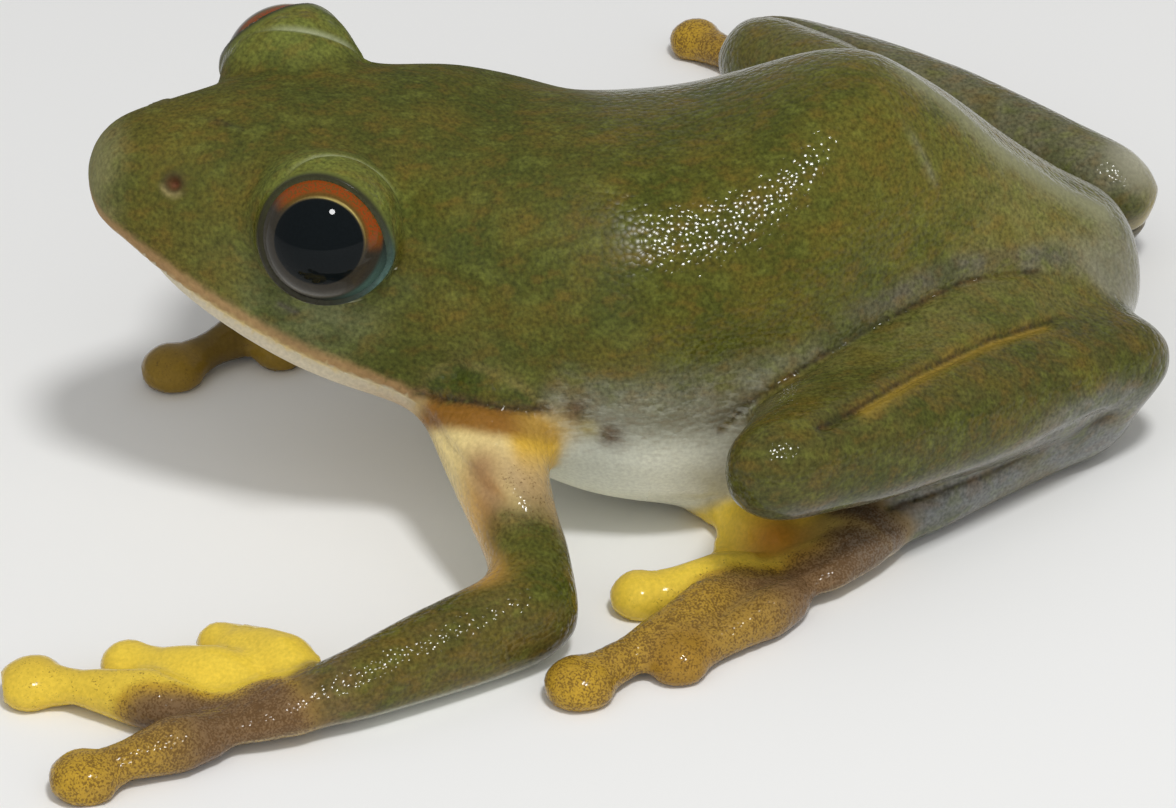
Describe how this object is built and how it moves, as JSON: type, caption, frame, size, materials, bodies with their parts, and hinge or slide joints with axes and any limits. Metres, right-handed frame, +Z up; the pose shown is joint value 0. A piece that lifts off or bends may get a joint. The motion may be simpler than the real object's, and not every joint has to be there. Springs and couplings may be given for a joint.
{
  "type": "tree frog",
  "caption": "Life-size still model of an olive green tree frog crouching on its belly, head raised, one foreleg reaching out, toes webbed and padded.",
  "frame": {"origin": "middle of the bounding box, at the level of the floor that the frog lies on", "axes": "+Z up, the frog faces -Y and its left side is toward +X"},
  "size_m": [0.058, 0.0506, 0.0187],
  "materials": {
    "skin_olive": "moist, finely granular olive green skin, mottled with brown",
    "skin_dark_olive": "moist, finely granular dark olive skin",
    "skin_cream": "moist, smooth cream skin, yellow and pinkish brown in places",
    "skin_yellow": "moist, smooth yellow skin with brown speckles",
    "skin_ochre": "moist, smooth ochre skin with brown speckles",
    "eye": "clear wet gloss over a black pupil and a dark iris, orange above"
  },
  "bodies": {
    "root": {"eye_left": "eye", "eye_right": "eye", "finger_1_left": "skin_yellow", "finger_1_right": "skin_yellow", "finger_2_left": "skin_yellow", "finger_2_right": "skin_yellow", "finger_3_left": "skin_yellow", "finger_3_right": "skin_yellow", "finger_4_left": "skin_yellow", "finger_4_right": "skin_yellow", "foot_left": "skin_ochre", "foot_right": "skin_ochre", "forearm_left": "skin_dark_olive", "forearm_right": "skin_dark_olive", "hand_left": "skin_ochre", "hand_right": "skin_ochre", "head": "skin_olive", "lower_jaw": "skin_cream", "shank_left": "skin_olive", "shank_right": "skin_olive", "tarsus_left": "skin_dark_olive", "tarsus_right": "skin_dark_olive", "thigh_left": "skin_olive", "thigh_right": "skin_olive", "toe_1_left": "skin_yellow", "toe_1_right": "skin_yellow", "toe_2_left": "skin_yellow", "toe_2_right": "skin_yellow", "toe_3_left": "skin_yellow", "toe_3_right": "skin_yellow", "toe_4_left": "skin_yellow", "toe_4_right": "skin_yellow", "toe_5_left": "skin_yellow", "toe_5_right": "skin_yellow", "trunk": "skin_olive", "tympanum_left": "skin_olive", "tympanum_right": "skin_olive", "upper_arm_left": "skin_cream", "upper_arm_right": "skin_cream"}
  },
  "joints": []
}
